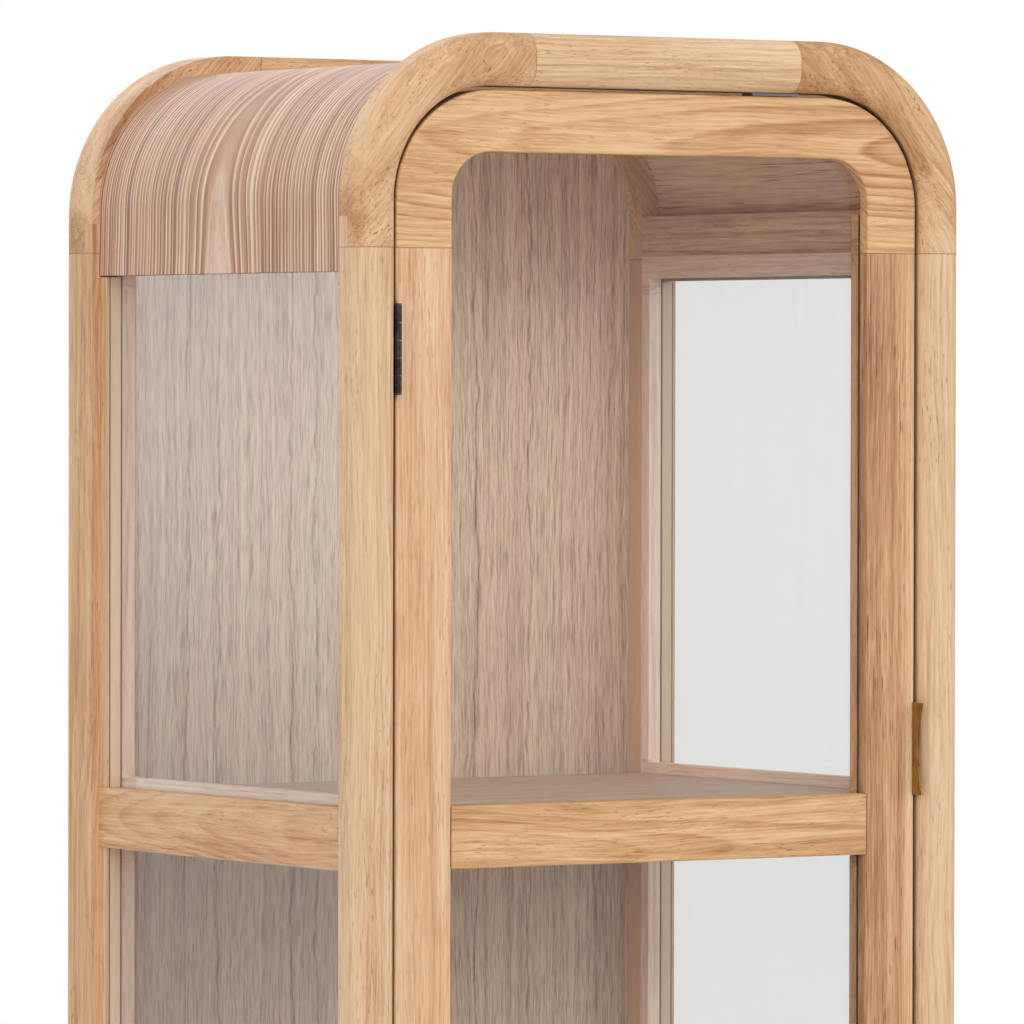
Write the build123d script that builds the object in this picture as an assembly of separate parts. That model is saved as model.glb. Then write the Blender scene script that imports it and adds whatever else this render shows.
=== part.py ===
from build123d import *
import math
import os

# Tall display cabinet: two rounded wooden rings joined by a curved shell, glazed sides and a glazed door.
# X runs left to right, Y from front to back, Z up. The origin is on the floor, under the middle.
# All lengths are in millimetres.

# Overall size
width = 500.0
depth = 413.0
height = 1750.0
leg_height = 161.5
bottom_rail_height = 35.5

# Front and rear rings
post_width = 32.0
rail_height = 37.0
front_ring_depth = 29.0
rear_ring_depth = 45.0
rear_ring_drop = 5.0
face_flat = 2.0
corner_radius = 116.0
block_width = 140.0
block_height = 148.0
lap_depth = 10.0
lap_step = 21.0
cope_relief = 0.5

# Rebate behind the rear ring, and the back panel in it
panel_setback = 16.5
panel_thickness = 6.0
panel_rebate = 9.0
panel_play = 0.5

# Curved shell between the rings
shell_inset = 6.0
shell_drop = 18.0
skin_thickness = 1.5
stave_thickness = 9.0
skirt_height = 164.0
ceiling_staves = 7
corner_staves = 4

# Compartments: equal bays between flush rails
bay_count = 3
rail_width = 43.0

# Glazed sides
side_top_board_height = 30.0
stile_width = 10.0
stile_recess = 0.8
groove_width = 1.2
groove_depth = 6.0
groove_inset = 2.4
side_rail_face = 12.0
side_glass_thickness = 3.0
side_glass_edge = 6.0
glass_play = 0.1
glass_end_play = 1.0
bead_thickness = 10.3
head_bead_lip = 2.0
sill_bead_height = 8.0
bottom_gap = 1.0

# Shelves and their cleats
shelf_thickness = 18.0
shelf_drop = 1.0
shelf_play = 0.5
shelf_setback = 8.0
shelf_step = 3.0
cleat_size = 10.0
cleat_end_gap = 25.0

# Door
door_recess = 11.5
door_gap = 2.5
door_thickness = 22.0
hinge_stile_width = 45.0
pull_stile_width = 41.0
lipping_width = 8.0
door_top_rail = 42.5
door_edge_round = 1.5
opening_radius = 31.0
door_rebate = 8.0
glass_reveal = 9.6
door_glass_thickness = 4.0
door_glass_play = 0.5
bead_play = 0.3

# Hinges
hinge_count = 3
hinge_length = 60.0
hinge_inset = 177.5
leaf_thickness = 1.05
leaf_reach = 20.5
barrel_radius = 2.7
barrel_offset = 4.5
pin_radius = 1.4
pin_play = 0.05
pin_head_height = 1.05
knuckle_count = 5
knuckle_gap = 0.3
leaf_clearance = 0.4
hinge_screw_pitch = 20.0
hinge_screw_count = 3
hinge_screw_offset = 12.7

# Edge pull and magnetic catch
pull_length = 65.0
pull_thickness = 1.5
pull_leaf_depth = 14.0
pull_finger_dip = 5.0
pull_drop = 1.5
pull_screw_inset = 13.0
catch_inset = 36.0
catch_width = 39.0
catch_depth = 13.0
catch_height = 11.0
catch_drop = 2.0
catch_plate = 0.8
catch_setback = 3.5
magnet_width = 27.0
magnet_depth = 7.0
magnet_play = 0.1
strike_thickness = 1.0

# Screws, glides
screw_play = 0.05
screw_head_radius = 2.4
screw_head_height = 1.3
screw_shank_radius = 1.3
screw_length = 10.0
back_screw_pitch = 290.0
glide_radius = 9.0
glide_thickness = 3.0
glide_setback = 20.0

# How far a cutter runs past what it cuts, and how near counts as the same place
overrun = 1.0
near = 0.01

# Places that follow from the sizes above
half_width = width / 2
half_depth = depth / 2
front = -half_depth
back = half_depth
front_ring_back = front + front_ring_depth
rear_ring_front = back - rear_ring_depth
inner_half = half_width - post_width
ring_round = (post_width - face_flat) / 2
inner_corner_radius = corner_radius - rail_height
rear_top = height - rear_ring_drop
rear_underside = rear_top - rail_height
ring_underside = height - rail_height
block_joint = height - block_height
arc_centre_x = half_width - corner_radius
arc_centre_z = height - corner_radius
block_joint_x = half_width - block_width

door_front = front + door_recess
door_back = door_front + door_thickness
door_half = inner_half - door_gap
door_top = ring_underside - door_gap
bottom_rail_top = leg_height + bottom_rail_height
door_bottom = bottom_rail_top + door_gap
bay_floor = door_bottom + rail_width
bay_top = door_top - door_top_rail
bay_pitch = (bay_top - bay_floor + rail_width) / bay_count
bays = [(bay_top - (n + 1) * bay_pitch + rail_width, bay_top - n * bay_pitch) for n in range(bay_count)]
opening_left = -door_half + hinge_stile_width
opening_right = door_half - pull_stile_width
lipping_left = door_half - lipping_width

skin_face = half_width - shell_inset
stave_face = skin_face - skin_thickness
shell_top = height - shell_drop
shell_radius = shell_top - arc_centre_z
shell_centre_x = skin_face - shell_radius
skirt_bottom = height - skirt_height
side_rail_inner = skin_face - side_rail_face
glass_outer = side_rail_inner - glass_play
glass_inner = glass_outer - side_glass_thickness
bead_outer = glass_inner - glass_play
bead_inner = bead_outer - bead_thickness
shelf_half = bead_outer - shelf_play
shelf_top_half = bead_inner - shelf_play
shelf_front = door_back + shelf_setback
panel_front = rear_ring_front + panel_setback
panel_back = panel_front + panel_thickness

hinge_x = -(inner_half + door_half) / 2
hinge_y = door_front - barrel_offset
hinge_heights = [
    door_bottom + hinge_inset
    + n * (door_top - door_bottom - 2 * hinge_inset) / (hinge_count - 1)
    for n in range(hinge_count)
]

pull_bottom = bays[0][0] - pull_drop
catch_centre = arc_centre_x - catch_inset
catch_front = door_front + catch_setback
catch_back = catch_front + catch_depth
catch_bottom = ring_underside - catch_drop
catch_top = catch_bottom + catch_height
catch_lip = (catch_width - magnet_width) / 4
strike_front = catch_front + (catch_depth - magnet_depth) / 2
strike_screw_y = strike_front + magnet_depth / 2


# Small builders that the pieces share

def brick(x0, x1, y0, y1, z0, z1):
    """A plain block between two corners."""
    return Pos((x0 + x1) / 2, (y0 + y1) / 2, (z0 + z1) / 2) * Box(x1 - x0, y1 - y0, z1 - z0)


def arch(left, right, y0, y1, bottom, top, radius):
    """A block whose two top corners are rounded, seen from the front."""
    blank = brick(left, right, y0, y1, bottom, top)
    return fillet(blank.edges().filter_by(Axis.Y).group_by(Axis.Z)[-1], radius)


def edges_on_plane(shape, y):
    """The edges that lie wholly in the plane at this depth."""
    def level(point):
        return abs(point.Y - y) < near

    return [e for e in shape.edges() if level(e.center()) and all(level(v) for v in e.vertices())]


def above(edges, z):
    """Leaves out the edges that lie flat at this height, where the piece is cut off."""
    return [e for e in edges if e.center().Z > z + near]


def along(edges, letter):
    """The straight edges that run along one axis, X or Z."""
    return [e for e in edges if abs(getattr(e.tangent_at(0.5), letter)) > 1 - near]


def cylinder_x(x0, x1, y, z, radius):
    """A round bar along X."""
    return Pos((x0 + x1) / 2, y, z) * Rot(0, 90, 0) * Cylinder(radius, abs(x1 - x0))


def cylinder_y(x, y0, y1, z, radius):
    """A round bar along Y."""
    return Pos(x, (y0 + y1) / 2, z) * Rot(90, 0, 0) * Cylinder(radius, abs(y1 - y0))


def cylinder_z(x, y, z0, z1, radius):
    """A round bar along Z."""
    return Pos(x, y, (z0 + z1) / 2) * Cylinder(radius, abs(z1 - z0))


def mirrored(shape):
    """The same piece on the other side of the cabinet."""
    return mirror(shape, about=Plane.YZ)


def merged(shapes):
    """Joins touching shapes into one."""
    total = shapes[0]
    for shape in shapes[1:]:
        total = total + shape
    return total


def without(shape, cutters):
    """Takes the cutters out of the shape, one after another."""
    for cutter in cutters:
        shape = shape - cutter
    return shape


def stave(radius_out, radius_in, start, sweep, y0, y1):
    """A board bent to part of a quarter circle, over the left corner of the shell."""
    def at(radius, share):
        angle = start + share * sweep
        return radius * math.cos(angle), radius * math.sin(angle)

    face = make_face([
        Line(at(radius_in, 0), at(radius_out, 0)),
        ThreePointArc(at(radius_out, 0), at(radius_out, 0.5), at(radius_out, 1)),
        Line(at(radius_out, 1), at(radius_in, 1)),
        ThreePointArc(at(radius_in, 1), at(radius_in, 0.5), at(radius_in, 0)),
    ])
    placed = Plane(origin=(-shell_centre_x, y1, arc_centre_z), x_dir=(1, 0, 0), z_dir=(0, -1, 0)) * face
    return extrude(placed, amount=y1 - y0, dir=(0, -1, 0))


# Holes that more than one piece shares

def back_screw_places():
    """Where the back panel is screwed to the rear ring, as x and z."""
    edge = inner_half + panel_rebate / 2
    low = bay_floor - panel_rebate / 2
    rows = int((arc_centre_z - low) // back_screw_pitch)
    step = (arc_centre_z - low) / rows
    sides = [(side * edge, low + n * step) for n in range(rows + 1) for side in (-1, 1)]
    span = arc_centre_x / 2
    top = rear_underside + panel_rebate / 2
    return sides + [(-span, top), (span, top), (-span, low), (span, low)]


def back_screw(x, z):
    """A round-head screw through the back panel into the ring."""
    head = cylinder_y(x, panel_back, panel_back + screw_head_height, z, screw_head_radius)
    return head + cylinder_y(x, panel_back - screw_length, panel_back, z, screw_shank_radius)


def back_screw_holes():
    """The holes for those screws, in the panel and in the ring."""
    return [
        cylinder_y(x, panel_back - screw_length, panel_back, z, screw_shank_radius + screw_play)
        for x, z in back_screw_places()
    ]


def hinge_screw_heights(centre):
    """Screw heights on one hinge leaf."""
    return [centre + (n - (hinge_screw_count - 1) / 2) * hinge_screw_pitch for n in range(hinge_screw_count)]


def hinge_screw(side, z, play):
    """A screw with its head flush in a hinge leaf: side -1 goes into the post, side 1 into the door."""
    surface = -inner_half if side < 0 else -door_half
    y = hinge_y + hinge_screw_offset
    head_outside = surface - side * leaf_thickness
    head = cylinder_x(min(surface, head_outside), max(surface, head_outside), y, z, screw_head_radius + play)
    tip = surface + side * screw_length
    shank = cylinder_x(min(surface, tip), max(surface, tip), y, z, screw_shank_radius + play)
    return head + shank


def hinge_screws(side, play):
    """All the screws on one side of the hinges."""
    return [hinge_screw(side, z, play) for centre in hinge_heights for z in hinge_screw_heights(centre)]


def catch_pocket(play):
    """The space that the catch housing takes in and just under the front ring."""
    half = catch_width / 2 + play
    return brick(catch_centre - half, catch_centre + half, catch_front - play, catch_back + play,
                 catch_bottom, catch_top + play)


def catch_screws(play):
    """Two upright screws through the ends of the catch."""
    x_reach = catch_width / 2 - catch_lip
    y = (catch_front + catch_back) / 2
    return [
        cylinder_z(catch_centre + side * x_reach, y, catch_bottom, catch_top + screw_length,
                   screw_shank_radius + play)
        for side in (-1, 1)
    ]


def strike_pocket(play):
    """The shallow seat of the strike plate in the door's top edge."""
    half = magnet_width / 2 + play
    return brick(catch_centre - half, catch_centre + half, strike_front - play,
                 strike_front + magnet_depth + play, door_top - strike_thickness, door_top + play)


def strike_screw(play):
    """The screw in the middle of the strike plate."""
    return cylinder_z(catch_centre, strike_screw_y, door_top - screw_length, door_top, screw_shank_radius + play)


def pull_leaf_pocket(play):
    """The seat of the pull's leaf in the door's edge."""
    return brick(door_half - pull_thickness, door_half + play, door_front - play,
                 door_front + pull_leaf_depth + play, pull_bottom - play, pull_bottom + pull_length + play)


def pull_screws(play):
    """Two screws through the pull's leaf into the door's edge."""
    y = door_front + pull_leaf_depth / 2
    return [
        cylinder_x(door_half - screw_length, door_half, y, z, screw_shank_radius + play)
        for z in (pull_bottom + pull_screw_inset, pull_bottom + pull_length - pull_screw_inset)
    ]


# Front ring

def front_arch():
    """The whole rounded top of the front ring, down to the joints with the posts."""
    outer = arch(-half_width, half_width, front, front_ring_back, block_joint, height, corner_radius)
    inner = arch(-inner_half, inner_half, front - overrun, front_ring_back + overrun, block_joint - overrun,
                 ring_underside, inner_corner_radius)
    ring = outer - inner
    ring = fillet(above(edges_on_plane(ring, front), block_joint), ring_round)
    return without(ring, [catch_pocket(0)] + catch_screws(screw_play))


def split_arch(ring, lap_front, lap_back):
    """Cuts an arch into its rail and two corner blocks, and laps the blocks' feet."""
    rail = ring & brick(-block_joint_x, block_joint_x, front, back, block_joint, height)
    left = ring & brick(-half_width, -block_joint_x, front, back, block_joint, height)
    right = ring & brick(block_joint_x, half_width, front, back, block_joint, height)
    lap = brick(-half_width, half_width, lap_front, lap_back, block_joint, block_joint + lap_step)
    return rail, left - lap, right - lap


def front_post(rounding):
    """The left post of the front ring, which runs on to the floor as a leg."""
    blank = brick(-half_width, -inner_half, front, front_ring_back, glide_thickness, block_joint)
    blank = fillet(along(edges_on_plane(blank, front), "Z"), rounding)
    lap = brick(-half_width, -inner_half, front_ring_back - lap_depth, front_ring_back,
                block_joint, block_joint + lap_step)
    return blank + lap


def front_bottom_rail():
    """The rounded rail under the door, coped over the rounding of both posts with a hair of relief."""
    post = front_post(ring_round - cope_relief)
    reach = inner_half + ring_round
    blank = brick(-reach, reach, front, front_ring_back, leg_height, bottom_rail_top)
    blank = fillet(along(edges_on_plane(blank, front), "X"), ring_round)
    return without(blank, [post, mirrored(post)])


# Rear ring

def rear_arch():
    """The rounded top of the rear ring, with the rebate for the back panel."""
    ring = arch(-half_width, half_width, rear_ring_front, back, block_joint, rear_top, corner_radius)
    ring = fillet(above(edges_on_plane(ring, back), block_joint), ring_round)
    opening = arch(-inner_half, inner_half, rear_ring_front - overrun, back + overrun, block_joint - overrun,
                   rear_underside, inner_corner_radius)
    reach = inner_half + panel_rebate
    rebate = arch(-reach, reach, panel_front, back + overrun, block_joint - overrun,
                  rear_underside + panel_rebate, inner_corner_radius + panel_rebate)
    return without(ring, [opening, rebate] + back_screw_holes())


def rear_post():
    """The left post of the rear ring, which runs on to the floor as a leg."""
    blank = brick(-half_width, -inner_half, rear_ring_front, back, glide_thickness, block_joint)
    outer_corner = [e for e in edges_on_plane(blank, back) if e.center().X < -half_width + near]
    blank = fillet(outer_corner, ring_round)
    rebate = brick(-inner_half - panel_rebate, -inner_half + overrun, panel_front, back + overrun,
                   bay_floor - panel_rebate, block_joint + overrun)
    lap = brick(-half_width, -inner_half, rear_ring_front, rear_ring_front + lap_depth,
                block_joint, block_joint + lap_step)
    return without(blank - rebate + lap, back_screw_holes())


def rear_bottom_rail():
    """The tall rail behind the bottom board, rebated along its top for the back panel."""
    blank = brick(-inner_half, inner_half, rear_ring_front, back, leg_height, bay_floor)
    rebate = brick(-inner_half - overrun, inner_half + overrun, panel_front, back + overrun,
                   bay_floor - panel_rebate, bay_floor + overrun)
    return without(blank, [rebate] + back_screw_holes())


def back_panel():
    """The panel that closes the back, in the rebate of the rear ring."""
    reach = inner_half + panel_rebate - panel_play
    panel = arch(-reach, reach, panel_front, panel_back,
                 bay_floor - panel_rebate + panel_play, rear_underside + panel_rebate - panel_play,
                 inner_corner_radius + panel_rebate - panel_play)
    return without(panel, back_screw_holes())


# Curved shell

def veneer_skin():
    """The thin skin that wraps over the top and down both sides."""
    outer = arch(-skin_face, skin_face, front_ring_back, rear_ring_front, skirt_bottom, shell_top, shell_radius)
    inner = arch(-stave_face, stave_face, front_ring_back - overrun, rear_ring_front + overrun,
                 skirt_bottom - overrun, shell_top - skin_thickness, shell_radius - skin_thickness)
    return outer - inner


def shell_staves():
    """The boards under the skin: bent ones over the corners and flat ones between."""
    radius_out = shell_radius - skin_thickness
    radius_in = radius_out - stave_thickness
    sweep = math.pi / 2 / corner_staves
    corners = [
        stave(radius_out, radius_in, math.pi / 2 + n * sweep, sweep, front_ring_back, rear_ring_front)
        for n in range(corner_staves)
    ]
    board = 2 * shell_centre_x / ceiling_staves
    top = shell_top - skin_thickness
    flats = [
        brick(-shell_centre_x + n * board, -shell_centre_x + (n + 1) * board, front_ring_back, rear_ring_front,
              top - stave_thickness, top)
        for n in range(ceiling_staves)
    ]
    return Compound(corners + flats + [mirrored(piece) for piece in corners])


# Glazed sides, built on the left

def left_side_top_rail():
    """The board under the skin, above the side glass, with a thick upper part that stands over the beads."""
    low = brick(-stave_face, -side_rail_inner, front_ring_back, rear_ring_front, skirt_bottom, arc_centre_z)
    high = brick(-side_rail_inner, -bead_inner, front_ring_back, rear_ring_front,
                 arc_centre_z - side_top_board_height, arc_centre_z)
    return low + high


def left_side_mid_rail(bay):
    """The flush rail between two side panes, level with the door's mid rail."""
    top = bays[bay][0]
    face = brick(-skin_face, -side_rail_inner, front_ring_back, rear_ring_front, top - rail_width, top)
    core = brick(-side_rail_inner, -bead_outer, front_ring_back, rear_ring_front,
                 top - rail_width + side_glass_edge, top - side_glass_edge)
    return face + core


def left_side_bottom_rail():
    """The tall rail under the lowest side pane."""
    face = brick(-skin_face, -side_rail_inner, front_ring_back, rear_ring_front, leg_height, bay_floor)
    core = brick(-side_rail_inner, -bead_outer, front_ring_back, rear_ring_front, leg_height,
                 bay_floor - side_glass_edge)
    return face + core


def side_bay(bay):
    """Bottom and top of the opening of one side pane: the first ends under the skin."""
    bottom, top = bays[bay]
    return bottom, min(top, skirt_bottom)


def left_side_stiles():
    """Upright strips beside the rings, each with a fine groove along its edge."""
    face = skin_face - stile_recess
    groove_outer = face - groove_inset + groove_width / 2
    stiles = []
    for bay in range(bay_count):
        bottom, top = side_bay(bay)
        strip_top = top - bottom_gap if bay == 0 else top
        for ring_y, inward in ((front_ring_back, 1), (rear_ring_front, -1)):
            edge_y = ring_y + inward * stile_width
            groove_y = edge_y - inward * groove_depth
            strip = brick(-face, -side_rail_inner, min(ring_y, edge_y), max(ring_y, edge_y), bottom, strip_top)
            groove = brick(-groove_outer, -groove_outer + groove_width,
                           min(groove_y, edge_y), max(groove_y, edge_y), bottom - overrun, top + overrun)
            stiles.append(strip - groove)
    return Compound(stiles)


def left_side_glass():
    """The panes of one side."""
    panes = []
    for bay in range(bay_count):
        bottom, top = side_bay(bay)
        panes.append(brick(-glass_outer, -glass_inner, front_ring_back + glass_end_play,
                           rear_ring_front - glass_end_play, bottom - side_glass_edge + glass_play,
                           top + side_glass_edge - glass_play))
    return Compound(panes)


def left_side_beads():
    """The square beads that hold the panes from the inside, flush with the rings and the stiles."""
    bars = []
    for bay in range(bay_count):
        bottom, top = side_bay(bay)
        sill_bottom = bottom - shelf_drop - shelf_step
        sill_top = bottom - shelf_drop + sill_bead_height
        head_bottom = top + head_bead_lip if bay == 0 else top - head_bead_lip
        head_top = arc_centre_z - side_top_board_height if bay == 0 else top + side_glass_edge
        for low_z, high_z in ((sill_bottom, sill_top), (head_bottom, head_top)):
            bars.append(brick(-bead_outer, -bead_inner, front_ring_back, rear_ring_front, low_z, high_z))
        for low_y in (front_ring_back, rear_ring_front - stile_width):
            bars.append(brick(-bead_outer, -bead_inner, low_y, low_y + stile_width, sill_top, head_bottom))
    return Compound(bars)


# Shelves, bottom board and cleats

def shelf(bay):
    """The board that is the floor of this bay, stepped down at both ends to pass under the beads."""
    top = bays[bay][0] - shelf_drop
    step = top - shelf_step
    shelf_back = rear_ring_front - shelf_play
    board = brick(-shelf_half, shelf_half, shelf_front, shelf_back, top - shelf_thickness, step)
    return board + brick(-shelf_top_half, shelf_top_half, shelf_front, shelf_back, step, top)


def cleats():
    """Square bars screwed inside the side rails, one under each end of each board."""
    bars = []
    for bottom, _ in bays:
        top = bottom - shelf_drop - shelf_thickness
        bar = brick(-bead_outer, -bead_outer + cleat_size, front_ring_back + cleat_end_gap,
                    rear_ring_front - cleat_end_gap, top - cleat_size, top)
        bars += [bar, mirrored(bar)]
    return Compound(bars)


# Door

def door_openings():
    """For each bay the glass opening and, behind it, the wider rebate."""
    cutters = []
    lip = door_rebate
    y0 = door_front + glass_reveal
    for number, (bottom, top) in enumerate(bays):
        opening = (opening_left, opening_right, door_front - overrun, door_back + overrun, bottom, top)
        rebate = (opening_left - lip, opening_right + lip, y0, door_back + overrun, bottom - lip, top + lip)
        if number == 0:
            cutters += [arch(*opening, opening_radius), arch(*rebate, opening_radius + lip)]
        else:
            cutters += [brick(*opening), brick(*rebate)]
    return cutters


def door_arch(cutters):
    """The wide arched board at the top of the door, cut to an inverted U."""
    board = arch(-door_half, door_half, door_front, door_back, block_joint, door_top,
                 inner_corner_radius - door_gap)
    board = without(board, cutters)
    board = fillet(above(edges_on_plane(board, door_front), block_joint), door_edge_round)
    return without(board, [strike_pocket(0), strike_screw(screw_play)])


def upright(x0, x1, cutters, eased_sides):
    """A door stile from x0 to x1, with its front edges eased at the places given."""
    blank = brick(x0, x1, door_front, door_back, door_bottom, block_joint)
    eased = [
        e for e in along(edges_on_plane(blank, door_front), "Z")
        if any(abs(e.center().X - x) < near for x in eased_sides)
    ]
    return without(fillet(eased, door_edge_round), cutters)


def door_rail(bottom, top, cutters):
    """A cross rail of the door between its stiles."""
    blank = brick(opening_left, opening_right, door_front, door_back, bottom, top)
    return without(fillet(along(edges_on_plane(blank, door_front), "X"), door_edge_round), cutters)


def door_glass(bay):
    """One pane, held in the rebate with a little play all round."""
    bottom, top = bays[bay]
    y0 = door_front + glass_reveal
    reach = door_rebate - door_glass_play
    corners = (opening_left - reach, opening_right + reach, y0, y0 + door_glass_thickness,
               bottom - reach, top + reach)
    if bay == 0:
        return arch(*corners, opening_radius + reach)
    return brick(*corners)


def door_beads():
    """The beads behind the door's panes: straight bars, left out in the round corners."""
    y0 = door_front + glass_reveal + door_glass_thickness
    reach = door_rebate - bead_play
    bars = []
    for number, (bottom, top) in enumerate(bays):
        corner = opening_radius if number == 0 else -reach
        side_top = top - opening_radius - door_rebate if number == 0 else top
        left = opening_left - reach
        right = opening_right + reach
        bars.append(brick(left, opening_left, y0, door_back, bottom, side_top))
        bars.append(brick(opening_right, right, y0, door_back, bottom, side_top))
        bars.append(brick(left, right, y0, door_back, bottom - reach, bottom))
        bars.append(brick(opening_left + corner, opening_right - corner, y0, door_back, top, top + reach))
    return Compound(bars)


# Hinges

def hinge_leaf(centre, knuckles, x0, x1, side):
    """One leaf: a plate in the gap, tongues to its own knuckles and the knuckles themselves."""
    low = centre - hinge_length / 2
    pitch = hinge_length / knuckle_count
    plate_front = hinge_y + barrel_radius + leaf_clearance
    pieces = [brick(x0, x1, plate_front, hinge_y + leaf_reach, low, low + hinge_length)]
    for number in knuckles:
        z0 = low + number * pitch + knuckle_gap / 2
        z1 = low + (number + 1) * pitch - knuckle_gap / 2
        pieces.append(cylinder_z(hinge_x, hinge_y, z0, z1, barrel_radius))
        pieces.append(brick(x0, x1, hinge_y, plate_front, z0, z1))
    bore = cylinder_z(hinge_x, hinge_y, low - overrun, low + hinge_length + overrun, pin_radius + pin_play)
    holes = [hinge_screw(side, z, screw_play) for z in hinge_screw_heights(centre)]
    return without(merged(pieces), [bore] + holes)


def hinge_leaves(side):
    """The leaves on the post (side -1, outer knuckles) or on the door (side 1, the knuckles between)."""
    if side < 0:
        return Compound([
            hinge_leaf(z, range(0, knuckle_count, 2), -inner_half, -inner_half + leaf_thickness, side)
            for z in hinge_heights
        ])
    return Compound([
        hinge_leaf(z, range(1, knuckle_count, 2), -door_half - leaf_thickness, -door_half, side)
        for z in hinge_heights
    ])


def hinge_pins():
    """The pins, each with a small flat head at both ends."""
    pins = []
    for centre in hinge_heights:
        low = centre - hinge_length / 2
        high = centre + hinge_length / 2
        pins.append(merged([
            cylinder_z(hinge_x, hinge_y, low - pin_head_height, high + pin_head_height, pin_radius),
            cylinder_z(hinge_x, hinge_y, low - pin_head_height, low, barrel_radius - pin_play),
            cylinder_z(hinge_x, hinge_y, high, high + pin_head_height, barrel_radius - pin_play),
        ]))
    return Compound(pins)


# Edge pull

def edge_pull():
    """A brass plate let into the door's edge, standing forward with a dished finger edge."""
    leaf = brick(door_half - pull_thickness, door_half, door_front, door_front + pull_leaf_depth,
                 pull_bottom, pull_bottom + pull_length)
    wing = brick(door_half - pull_thickness, door_half, front, door_front, pull_bottom, pull_bottom + pull_length)
    middle = pull_bottom + pull_length / 2
    dish_radius = (pull_length ** 2 / 4 + pull_finger_dip ** 2) / (2 * pull_finger_dip)
    dish_y = front - dish_radius + pull_finger_dip
    dish = cylinder_x(door_half - pull_thickness - overrun, door_half + overrun, dish_y, middle, dish_radius)
    return without(leaf + wing, [dish] + pull_screws(screw_play))


# Magnetic catch

def catch_housing():
    """The housing let into the ring's underside, a little proud of it, with a slot for the magnet."""
    return without(catch_pocket(0), [magnet_space(0)] + catch_screws(screw_play))


def magnet_space(play):
    """Where the magnet bar sits in the catch."""
    half = magnet_width / 2 - play
    return brick(catch_centre - half, catch_centre + half, strike_front + play, strike_front + magnet_depth - play,
                 catch_bottom, catch_top - catch_plate)


def strike_plate():
    """The steel plate in the door's top edge, under the magnet."""
    return strike_pocket(0) - strike_screw(screw_play)


# Feet

def foot_glides():
    """A round plastic glide under each leg."""
    x = half_width - post_width / 2
    y = half_depth - glide_setback
    return Compound([
        cylinder_z(side_x * x, side_y * y, 0, glide_thickness, glide_radius)
        for side_x in (-1, 1) for side_y in (-1, 1)
    ])


# All pieces by name

def build():
    """Makes every piece, in a dictionary from node name to shape."""
    nodes = {}
    front_rail, front_left, front_right = split_arch(front_arch(), front_ring_back - lap_depth, front_ring_back)
    rear_rail, rear_left, rear_right = split_arch(rear_arch(), rear_ring_front, rear_ring_front + lap_depth)
    plain_post = front_post(ring_round)
    back_post = rear_post()
    nodes["front_top_rail"] = front_rail
    nodes["front_corner_left"] = front_left
    nodes["front_corner_right"] = front_right
    nodes["front_post_left"] = without(plain_post, hinge_screws(-1, screw_play))
    nodes["front_post_right"] = mirrored(plain_post)
    nodes["front_bottom_rail"] = front_bottom_rail()
    nodes["rear_top_rail"] = rear_rail
    nodes["rear_corner_left"] = rear_left
    nodes["rear_corner_right"] = rear_right
    nodes["rear_post_left"] = back_post
    nodes["rear_post_right"] = mirrored(back_post)
    nodes["rear_bottom_rail"] = rear_bottom_rail()
    nodes["veneer_skin"] = veneer_skin()
    nodes["shell_staves"] = shell_staves()
    nodes["back_panel"] = back_panel()

    sides = {
        "side_top_rail": left_side_top_rail(),
        "side_upper_rail": left_side_mid_rail(0),
        "side_lower_rail": left_side_mid_rail(1),
        "side_bottom_rail": left_side_bottom_rail(),
        "side_stiles": left_side_stiles(),
        "side_glass": left_side_glass(),
        "side_beads": left_side_beads(),
    }
    for name, piece in sides.items():
        nodes[name + "_left"] = piece
        nodes[name + "_right"] = mirrored(piece)

    nodes["upper_shelf"] = shelf(0)
    nodes["lower_shelf"] = shelf(1)
    nodes["bottom_board"] = shelf(2)
    nodes["shelf_cleats"] = cleats()

    cutters = door_openings()
    edge_cutters = [pull_leaf_pocket(0)] + pull_screws(screw_play)
    nodes["door_top_rail"] = door_arch(cutters)
    nodes["door_hinge_stile"] = without(
        upright(-door_half, opening_left, cutters, (-door_half, opening_left)), hinge_screws(1, screw_play))
    nodes["door_pull_stile"] = without(
        upright(opening_right, lipping_left, cutters, (opening_right,)), edge_cutters)
    nodes["door_edge_lipping"] = without(
        upright(lipping_left, door_half, [], (door_half,)), edge_cutters)
    nodes["door_upper_rail"] = door_rail(bays[1][1], bays[0][0], cutters)
    nodes["door_lower_rail"] = door_rail(bays[2][1], bays[1][0], cutters)
    nodes["door_bottom_rail"] = door_rail(door_bottom, bay_floor, cutters)
    nodes["door_glass_upper"] = door_glass(0)
    nodes["door_glass_middle"] = door_glass(1)
    nodes["door_glass_lower"] = door_glass(2)
    nodes["door_glass_beads"] = door_beads()

    nodes["hinge_frame_leaves"] = hinge_leaves(-1)
    nodes["hinge_door_leaves"] = hinge_leaves(1)
    nodes["hinge_pins"] = hinge_pins()
    nodes["hinge_frame_screws"] = Compound(hinge_screws(-1, 0))
    nodes["hinge_door_screws"] = Compound(hinge_screws(1, 0))
    nodes["edge_pull"] = edge_pull()
    nodes["edge_pull_screws"] = Compound(pull_screws(0))
    nodes["catch_housing"] = catch_housing()
    nodes["catch_magnet"] = magnet_space(magnet_play)
    nodes["catch_screws"] = Compound(catch_screws(0))
    nodes["strike_plate"] = strike_plate()
    nodes["strike_screw"] = strike_screw(0)
    nodes["back_screws"] = Compound([back_screw(x, z) for x, z in back_screw_places()])
    nodes["foot_glides"] = foot_glides()
    return nodes


os.makedirs("parts", exist_ok=True)
for node_name, node_shape in build().items():
    export_step(node_shape, os.path.join("parts", node_name + ".step"))
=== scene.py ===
import bpy
import math
from mathutils import Matrix, Vector


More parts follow.
